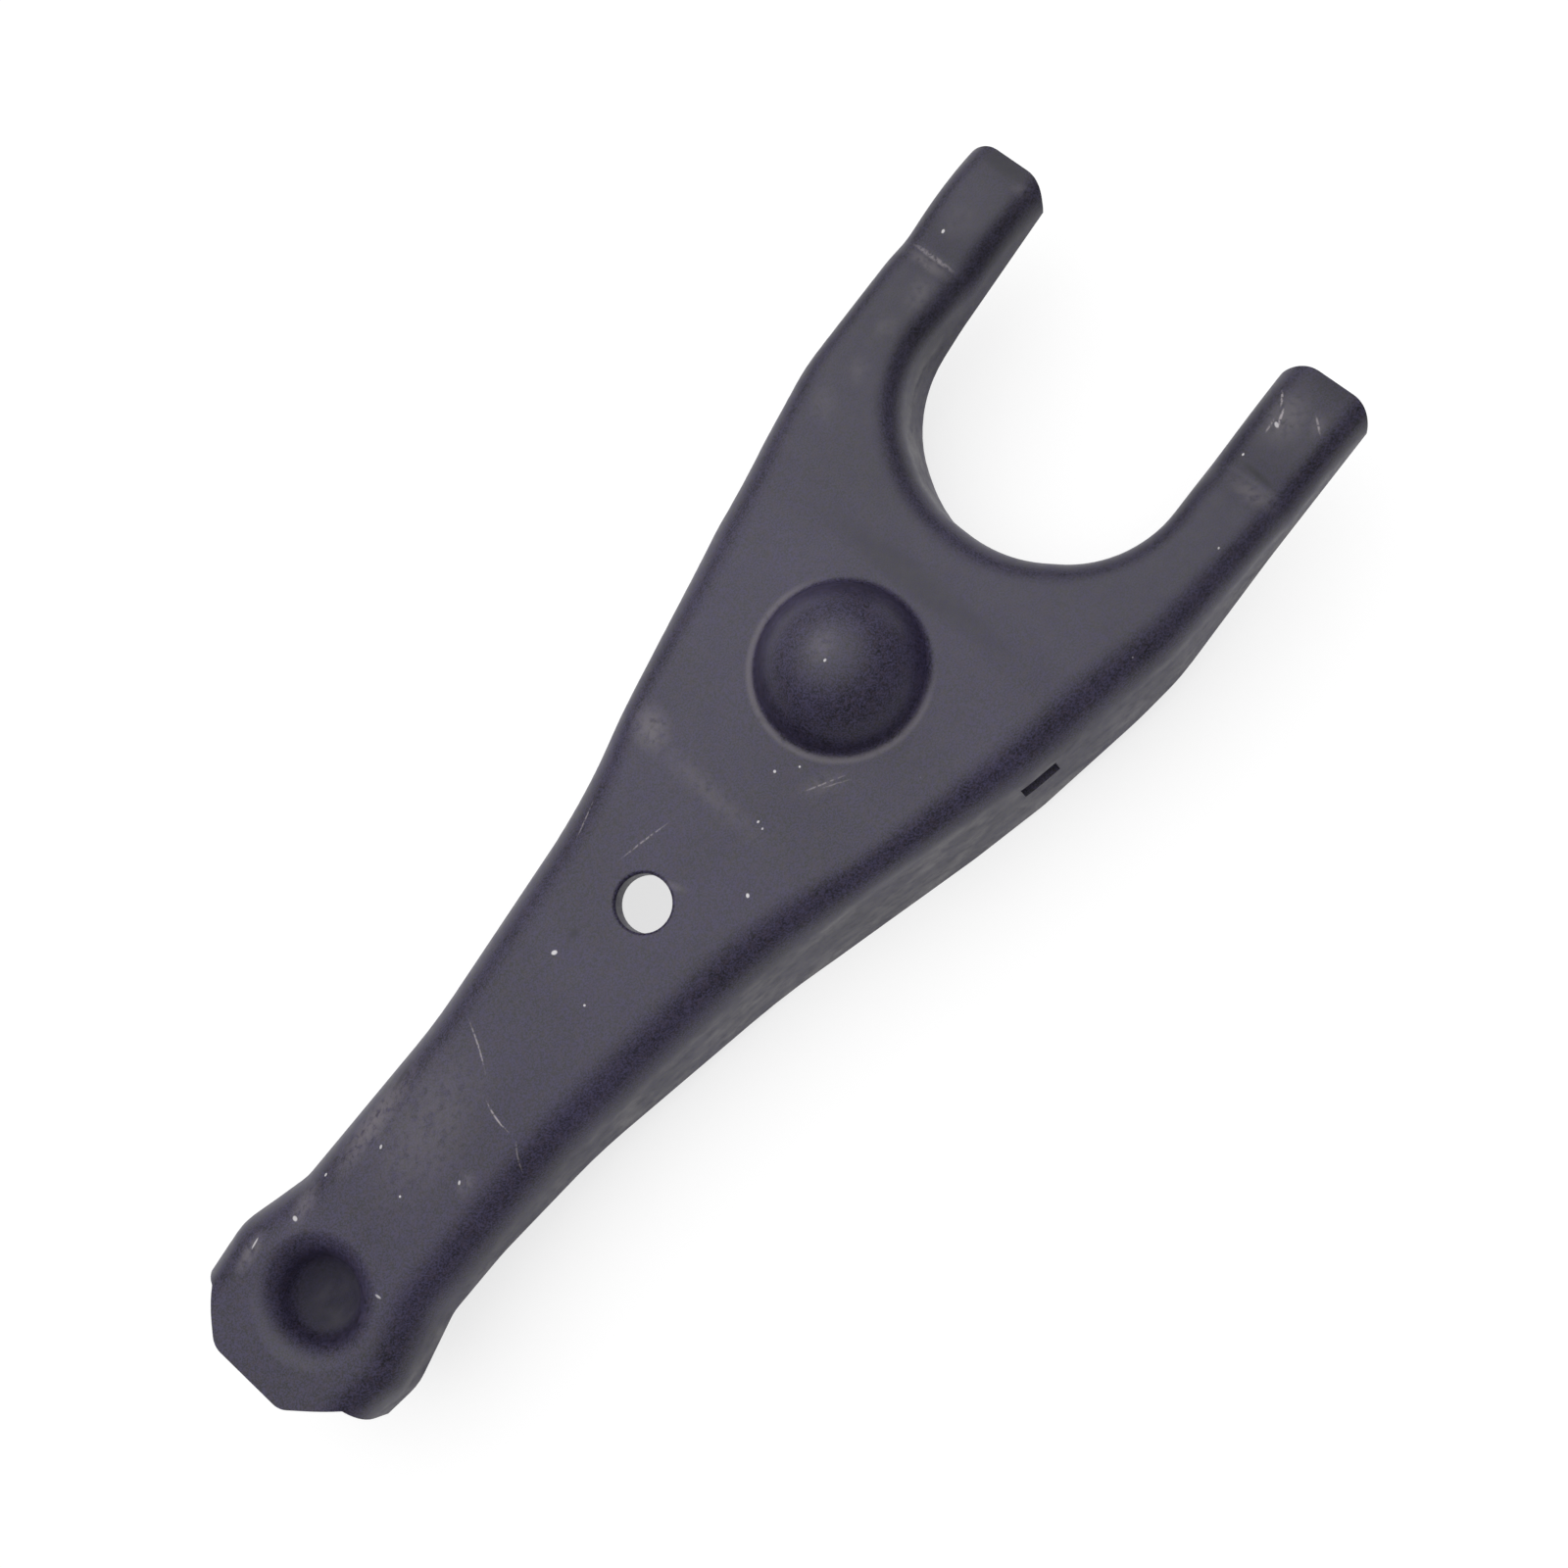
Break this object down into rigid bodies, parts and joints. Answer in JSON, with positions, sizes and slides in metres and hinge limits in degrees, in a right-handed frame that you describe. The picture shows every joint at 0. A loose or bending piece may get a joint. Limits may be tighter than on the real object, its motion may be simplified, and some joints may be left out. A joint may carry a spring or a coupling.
{
  "type": "clutch release fork",
  "caption": "Pressed-steel lever folded into a tapering channel, with a domed ball seat, a pushrod cup and a forked end with crowned pads.",
  "frame": {"origin": "centre of the ball seat, where the middle of the pivot ball comes to rest under the dome", "axes": "+X along the fork towards the finger tips, +Y towards the left finger, +Z out of the web on the domed side"},
  "size_m": [0.1849, 0.064, 0.0306],
  "materials": {
    "coated_steel": "satin black e-coat over pressed steel, burnished where it has rubbed"
  },
  "bodies": {
    "root": {"clutch_fork": "coated_steel"}
  },
  "joints": []
}
